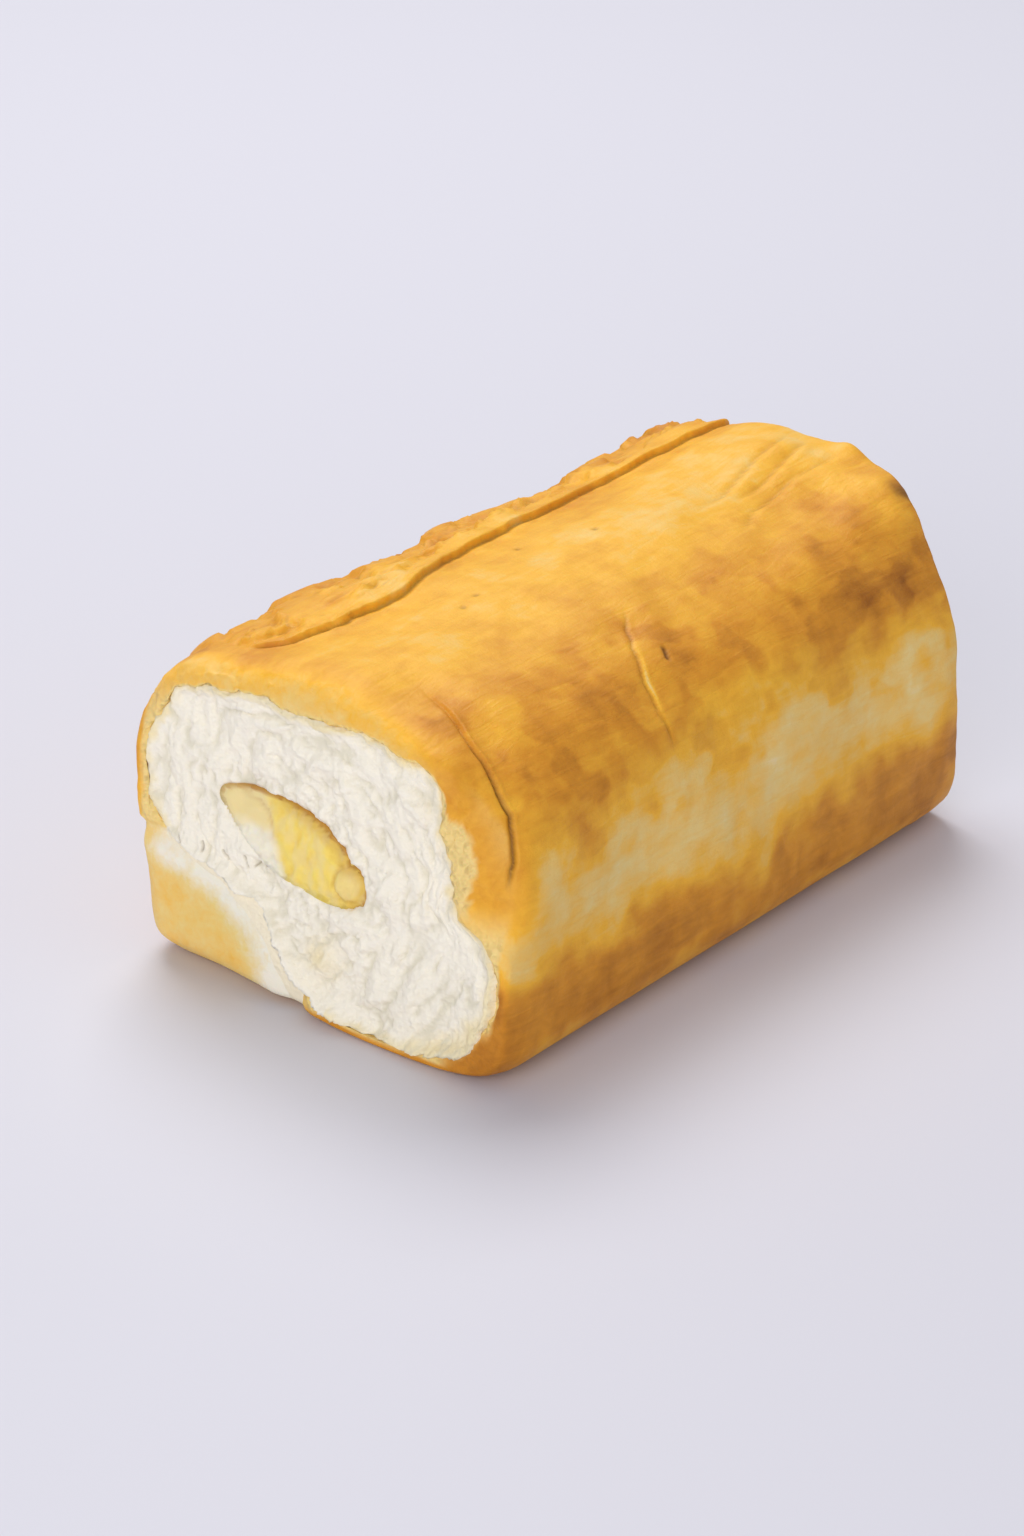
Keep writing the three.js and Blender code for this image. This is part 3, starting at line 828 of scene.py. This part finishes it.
def sheetPoint(tree, lines):
    def look(p, normal):
        back = p.y + roll["halfLength"]
        outward = normal.dot(awayFromHeart(p))
        front = smooth(-p.y, 86, 95)
        rear = smooth(p.y, 80, 90)
        endOn = max(front * smooth(-normal.y, 0.25, 0.6), rear * smooth(normal.y, 0.25, 0.6))
        seen = max(smooth(outward, 0.0, 0.35), endOn) * smooth(p.z, 1.5, 12)
        level = sheetBrowning(p, back)
        atEnd = front + rear > 0.2
        if seen == 0 and not atEnd:
            return Vector((0, 0, 0)), (level, 0, 0)
        height, dark, pale = sheetRelief(p, back, lines)
        crumb = 0.0
        moved = Vector((0, 0, 0))
        if atEnd:
            moved, roughness, level, crumb = sheetEnd(tree, p, outward, front, rear, endOn, level)
            height += roughness
        burntAt, radius = sheetLook["burnt"]
        dark = max(dark, 0.8 * bump((p - burntAt).length + 1.5 * bumpy(p, 4, 20), 0, radius) * rear)
        shift = normal * (height * seen) + moved + rearLift(p)
        return shift, (level * (1 - pale), crumb, dark * seen)

    return look


def makeSheet(material):
    tree = BVHTree.FromBMesh(cadCopy("golden_sheet"))
    lines = {name: onto(tree, sheetLook[name]) for name in ("crease", "tear", "blister")}
    lines["pits"] = [tree.find_nearest(pit * mm)[0] / mm for pit in sheetLook["pits"]]
    lines["folds"] = [onto(tree, fold) for fold in sheetLook["folds"]]
    crispPoints = lines["crease"] + lines["tear"] + lines["blister"] + lines["pits"]
    crisp = nearPoints(crispPoints)
    lines["near"] = nearPoints(crispPoints + [point for fold in lines["folds"] for point in fold])
    bm = cadCopy("golden_sheet")
    bmesh.ops.join_triangles(
        bm,
        faces=bm.faces,
        angle_face_threshold=math.pi,
        angle_shape_threshold=math.pi,
    )
    short, long = sheetLook["rowLength"]
    rows = [e for e in bm.edges if short < abs(e.verts[0].co.y - e.verts[1].co.y) / mm < long]
    bmesh.ops.subdivide_edges(bm, edges=rows, cuts=1, use_grid_fill=True)
    piece = refined(bm, "baked_sheet", [("SUBSURF", {"levels": 2, "render_levels": 2})])

    def nearLine(p, normal):
        if crisp.find(p)[2] < sheetLook["fineWidth"]:
            return True
        back = p.y + roll["halfLength"]
        lapped = p.z > 70 and back > 12 and normal.z > 0.3
        return lapped and abs(p.x - alongCurve(sheetLook["lapEdge"], back) - 1) < sheetLook["lapFineWidth"]

    finerWhere(piece, nearLine)
    reshape(piece, sheetPoint(tree, lines), ("browning", "crumb", "dark"))
    finishPiece(piece, material, "golden_sheet")


def finishPiece(piece, material, node):
    piece.data.materials.clear()
    piece.data.materials.append(material)
    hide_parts(node)
    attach(piece, "root")
    print(piece.name, "has", sum(len(face.vertices) - 2 for face in piece.data.polygons), "triangles")


# the meringue: the solid remeshed evenly, its ends cut finer and torn into puffs, crevices and pores
meringueLook = {
    "grain": 1.6,
    "fatten": 0.5,  # closes the clear space that the solid keeps to its neighbours
    "ring": 15,  # the puffs are drawn out along the rolled layers outside this radius
    "puffs": [(6.5, 1.0, 9), (3.0, 0.55, 5), (1.5, 0.22, 2)],  # size, share of the height, seed
    "puffHeight": 1.4,
    "waves": (12, 1.1),  # size and height, as in the next two
    "crumbs": (3.6, 1.6),
    "pores": (1.4, 0.22),
    "cracks": [
        [fromCut(-43.3, 0, 34.8), fromCut(-42.6, 0, 33.6)],
        [fromCut(-36.4, 0, 35.4), fromCut(-35.7, 0, 33.4)],
        [fromCut(-29.7, 0, 35.1), fromCut(-28.2, 0, 33.2)],
        [fromCut(-22.8, 0, 35.8), fromCut(-22.0, 0, 33.0)],
        [fromCut(-20.3, 0, 33.5), fromCut(-18.4, 0, 35.3)],
        [fromCut(-17.3, 0, 34.1), fromCut(-15.4, 0, 35.6)],
    ],
    "crackWidth": 0.24,
    "crackDepth": 0.7,
    "crackShade": 0.65,
    "hollowShade": 0.75,
    "coveredCream": 0.3,  # how creamy it is where it isn't seen
    "crumbly": (40, 7, 13),  # x, z and radius of a spot of the cut end, as in the next two
    "creamy": (42, 8, 14),
    "smear": (2, 17, 4.5),  # of yolk
    "lidDepth": 9,  # the sheet may lie this far in front of covered foam
}


def foam(p, facing):  # the torn face's height, and the painted shade in its crevices
    fromHeart = (p - roll["heart"]) * Vector((1, 0, 1))
    layered = awayFromHeart(p) * meringueLook["ring"]
    layered.y = fromHeart.length + 40 * facing  # 40 keeps the two ends from matching
    torn = layered + Vector([1.5 * bumpy(layered, 6, seed) for seed in (41, 42, 43)])
    puffs = 0.0
    for size, share, seed in meringueLook["puffs"]:
        puffs += share * (2 * abs(noise.noise(torn / size + Vector((0, 0, seed)))) - 0.45)
    waveSize, waveHeight = meringueLook["waves"]
    puffed = meringueLook["puffHeight"] * puffs + waveHeight * bumpy(layered, waveSize, 11)
    crumbly = onSpot(p, meringueLook["crumbly"]) if facing < 0 else 0
    crumbSize, crumbHeight = meringueLook["crumbs"]
    cells = noise.voronoi(p / crumbSize)[0]
    crumbs = crumbHeight * (cells[1] - cells[0]) - 0.4
    poreSize, poreHeight = meringueLook["pores"]
    height = mix(puffed, crumbs, 0.8 * crumbly) + poreHeight * bumpy(p, poreSize, 13)
    return height, meringueLook["hollowShade"] * smooth(-puffs, 0.1, 0.7)


def inCrack(p):  # 1 in the middle of a hair crack
    share = 0.0
    for line in meringueLook["cracks"]:
        flat = Vector((p.x, line[0].y, p.z))
        share = max(share, bump(nearest(flat, line)[0], 0, meringueLook["crackWidth"]))
    return share


def meringuePoint(sheetTree, custardTree):
    fatten = meringueLook["fatten"]

    def look(p, normal):
        facing = math.copysign(1, p.y)
        endOn = smooth(normal.y * facing, 0.35, 0.8) * smooth(abs(p.y), 85, 92)
        move = lipShift(sheetTree, p)[0] + rearLift(p)
        ahead = Vector((0, facing, 0))
        if endOn == 0 or sheetTree.ray_cast(p * mm, ahead, meringueLook["lidDepth"] * mm)[0]:
            return move + normal * fatten, (meringueLook["coveredCream"], 0, 0)
        lumps, hollow_shade = foam(p, facing)
        atCut = facing < 0
        crack = inCrack(p) if atCut else 0.0
        near = sheetTree.find_nearest(p * mm)[3] / mm
        rim = 1 - smooth(near + 0.8 * bumpy(p, 3.5, 15), 0.4, 3.2)
        byFold = atCut and p.z < 36 and p.x < 5
        byCollar = smooth(p.x, 22, 32) * smooth(p.z, 34, 46) * atCut
        byCustard = 1 - smooth(custardTree.find_nearest(p * mm)[3] / mm, 0.4, 3)
        creamy = onSpot(p, meringueLook["creamy"]) * atCut
        cream = 0 if byFold else 0.7 * (1 - smooth(near + bumpy(p, 3, 17), 0.3, 3 + 5 * creamy))
        if atCut:
            cream = max(cream, 0.55 * onSpot(p, meringueLook["smear"], 2 * bumpy(p, 5, 27)))
        flush = mix(mix(0.9, 2.1, 1 - smooth(p.z, 26, 36)), -0.3, byCollar)  # so that no gap shows
        height = mix(lumps, 0.6 * lumps + flush, rim)
        height = mix(height, 0.3 * lumps, byCustard) - meringueLook["crackDepth"] * crack + fatten
        shift = Vector((0, facing * height * endOn, 0)) + normal * fatten * (1 - endOn)
        return move + shift, (cream, hollow_shade, meringueLook["crackShade"] * crack)

    return look


def makeMeringue(material):
    sheetTree = BVHTree.FromBMesh(cadCopy("golden_sheet"))
    custardTree = BVHTree.FromBMesh(cadCopy("custard"))
    steps = [("REMESH", {"mode": "VOXEL", "voxel_size": meringueLook["grain"] * mm})]
    piece = refined(cadCopy("meringue"), "torn_meringue", steps)
    cracked = nearPoints([point for line in meringueLook["cracks"] for point in line])

    def onCut(p, normal):
        return normal.y < -0.5 and p.y < -85

    def onFarEnd(p, normal):
        return normal.y > 0.5 and p.y > 85

    def nearCrack(p, normal):
        return onCut(p, normal) and cracked.find((p.x, -roll["halfLength"], p.z))[2] < 2.5

    finerWhere(piece, onCut, 2)
    finerWhere(piece, onFarEnd)
    finerWhere(piece, nearCrack)
    reshape(piece, meringuePoint(sheetTree, custardTree), ("cream", "hollow_shade", "crack"))
    finishPiece(piece, material, "meringue")


# the custard: a pale tip, a yellow body and a round pale curl, with a thin brown line along the top that is
# partly painted shadow, and painted shade in the groove round the curl
custardLook = {
    "grain": 0.8,
    "fatten": 0.9,
    "proud": -0.3,  # how far it stands out of the meringue
    "curl": Vector((8.6, 0, 37.6)),
    "curlRadius": 4.0,
    "curlHeight": 0.5,
    "grooveDepth": 0.45,  # round the curl
    "tipEdge": -14,  # the pale tip ends about here
    "topLine": [(-33, 50), (-28, 52), (-22, 53), (-16, 52.6), (-6, 51)],
    "crimp": [
        Vector((x, 0, z))
        for x, z in ((-24, 51.4), (-19.3, 50.9), (-16.3, 49), (-14.6, 46), (-13.6, 42))
    ],
    "crimpDepth": 0.4,
    "lumps": (6, 0.7),  # size and height
    "foldHeight": 0.7,
    "roundedEdge": (1.2, 0.7),  # width and depth
    "brownSpots": [(6.6, 41.7, 0.8), (9.4, 43.5, 0.8), (10.6, 42.5, 0.8)],
    "wallDepth": 8,  # the distance to the custard's side is measured this far behind its face
}


def custardColours(p, inside, groove, inCurl, crimp, facing):  # how pale; how dark the brown line, spots and painted shade are; how much run out
    look = custardLook
    upper = smooth(p.z + 0.42 * p.x, 33, 38)
    body = smooth(p.x, look["tipEdge"] - 2, look["tipEdge"] + 4)
    rimmed = smooth(p.z + 0.7 * p.x, 21, 30) * upper
    # a thin brown line along the upper edge, partly browning and partly painted shadow under the meringue
    edgeLine = mix(0.6, 0.9, smooth(p.x, -30, -20)) * rimmed * (1 - smooth(inside, 0.1, 0.6))
    # painted shade over the upper part of the yellow body, below its top edge
    browned = 0.36 * upper * body * (1 - smooth(inside, 0.5, 4))
    # the groove round the curl and the crimp dents are darkened as painted shade; the brown spots below are
    # real
    line = max(edgeLine, 0.45 * groove, 0.25 * crimp, browned)
    for spot in look["brownSpots"]:
        line = max(line, 0.65 * onSpot(p, spot, 0.4 * bumpy(p, 1.5, 24)))
    edge = look["tipEdge"] + 0.32 * (47 - p.z) + 0.8 * bumpy(p, 3, 23)
    drawn = bumpy(Vector((p.x / 2.6, facing, p.z / 7)), 1, 25)  # pale streaks down the body
    pale = max(1 - smooth(p.x, edge - 2.5, edge + 1.5), 0.55 * inCurl, 0.5 * smooth(drawn, 0.0, 0.5))
    below = through(look["topLine"], p.x) - p.z + bumpy(p, 3, 26)
    melted = smooth(below, 6, 11) * (1 - smooth(p.x, edge - 3, edge + 0.5))
    return pale, line, melted


def custardPoint(tree):
    look = custardLook

    def shape(p, normal):
        facing = math.copysign(1, p.y)
        endOn = smooth(normal.y * facing, 0.3, 0.8)
        inside = tree.find_nearest((p - Vector((0, facing * look["wallDepth"], 0))) * mm)[3] / mm
        fromCurl = math.hypot(p.x - look["curl"].x, p.z - look["curl"].z)
        groove = bump(fromCurl, look["curlRadius"], 0.5) * smooth(5 - (p.x - look["curl"].x), 0, 3)
        inCurl = 1 - smooth(fromCurl, look["curlRadius"] - 1, look["curlRadius"])
        crimp = bump(nearest(Vector((p.x, 0, p.z)), look["crimp"])[0], 0, 0.5)
        pale, line, melted = custardColours(p, inside, groove, inCurl, crimp, facing)
        body = smooth(p.x, look["tipEdge"] - 2, look["tipEdge"] + 4)
        folds = 0.5 - 2 * abs(noise.noise(Vector((p.x / 3.4, facing * 9, p.z / 6))))
        lumpSize, lumpHeight = look["lumps"]
        edgeWidth, edgeDepth = look["roundedEdge"]
        height = look["proud"] + lumpHeight * bumpy(p, lumpSize, 21) + look["foldHeight"] * folds * body
        height += look["curlHeight"] * inCurl - look["grooveDepth"] * groove - look["crimpDepth"] * crimp
        height -= edgeDepth * (1 - smooth(inside, 0, edgeWidth))
        height = mix(height, foam(p, facing)[0] + look["proud"], melted)
        shift = Vector((0, facing * height * endOn, 0)) + normal * (look["fatten"] * (1 - endOn))
        return shift, (pale, line, melted)

    return shape


def makeCustard(material):
    tree = BVHTree.FromBMesh(cadCopy("custard"))
    steps = [
        ("REMESH", {"mode": "VOXEL", "voxel_size": custardLook["grain"] * mm}),
        ("SMOOTH", {"factor": 0.5, "iterations": 3}),
    ]
    piece = refined(cadCopy("custard"), "custard_curl", steps)
    reshape(piece, custardPoint(tree), ("pale", "line", "melted"))
    finishPiece(piece, material, "custard")


# the stage: a plain pale floor, a big soft light from the left and behind, and a weak one in front
stage = {
    "floor": "#d6d4dd",
    "floorSize": 6,  # in metres, as the places are
    "sky": "#eceef4",
    "skyStrength": 0.48,
    "key": {"place": (-0.8, 0.6, 1.6), "size": 1.1, "power": 23},
    "fill": {"place": (0.6, -1.5, 0.7), "size": 1.2, "power": 14},
    "camera": {"place": (0.5568, -0.7221, 0.4581), "pitch": 64.82, "turn": 38.63, "lens": 94.62},
}


def makeStage():
    bm = bmesh.new()
    bmesh.ops.create_grid(bm, x_segments=1, y_segments=1, size=stage["floorSize"] / 2)
    mesh = bpy.data.meshes.new("floor")
    bm.to_mesh(mesh)
    bm.free()
    floor = bpy.data.objects.new("floor", mesh)
    bpy.context.scene.collection.objects.link(floor)
    board = newMaterial("painted_board", {"Roughness": 0.6, "Base Color": linear(stage["floor"])})[0]
    mesh.materials.append(board)
    world = bpy.data.worlds.new("studio")
    world.use_nodes = True
    background = world.node_tree.nodes["Background"]
    background.inputs["Color"].default_value = linear(stage["sky"])
    background.inputs["Strength"].default_value = stage["skyStrength"]
    bpy.context.scene.world = world
    bpy.context.scene.view_settings.view_transform = "Standard"
    for name in ("key", "fill"):
        settings = stage[name]
        light = bpy.data.lights.new(name, "AREA")
        light.size = settings["size"]
        light.energy = settings["power"]
        lamp = bpy.data.objects.new(name, light)
        lamp.location = settings["place"]
        lamp.rotation_euler = (-lamp.location).to_track_quat("-Z", "Y").to_euler()
        bpy.context.scene.collection.objects.link(lamp)


def makeCamera():
    settings = stage["camera"]
    camera = bpy.data.objects.new("camera", bpy.data.cameras.new("camera"))
    camera.data.lens = settings["lens"]
    camera.location = settings["place"]
    camera.rotation_euler = (math.radians(settings["pitch"]), 0, math.radians(settings["turn"]))
    bpy.context.scene.collection.objects.link(camera)
    bpy.context.scene.camera = camera


makeCamera()
print("camera set")
makeSheet(bakedSkinMaterial())
print("browned sheet made")
makeMeringue(meringueFoamMaterial())
print("meringue made")
makeCustard(eggCustardMaterial())
print("custard made")
makeStage()
print("stage set")
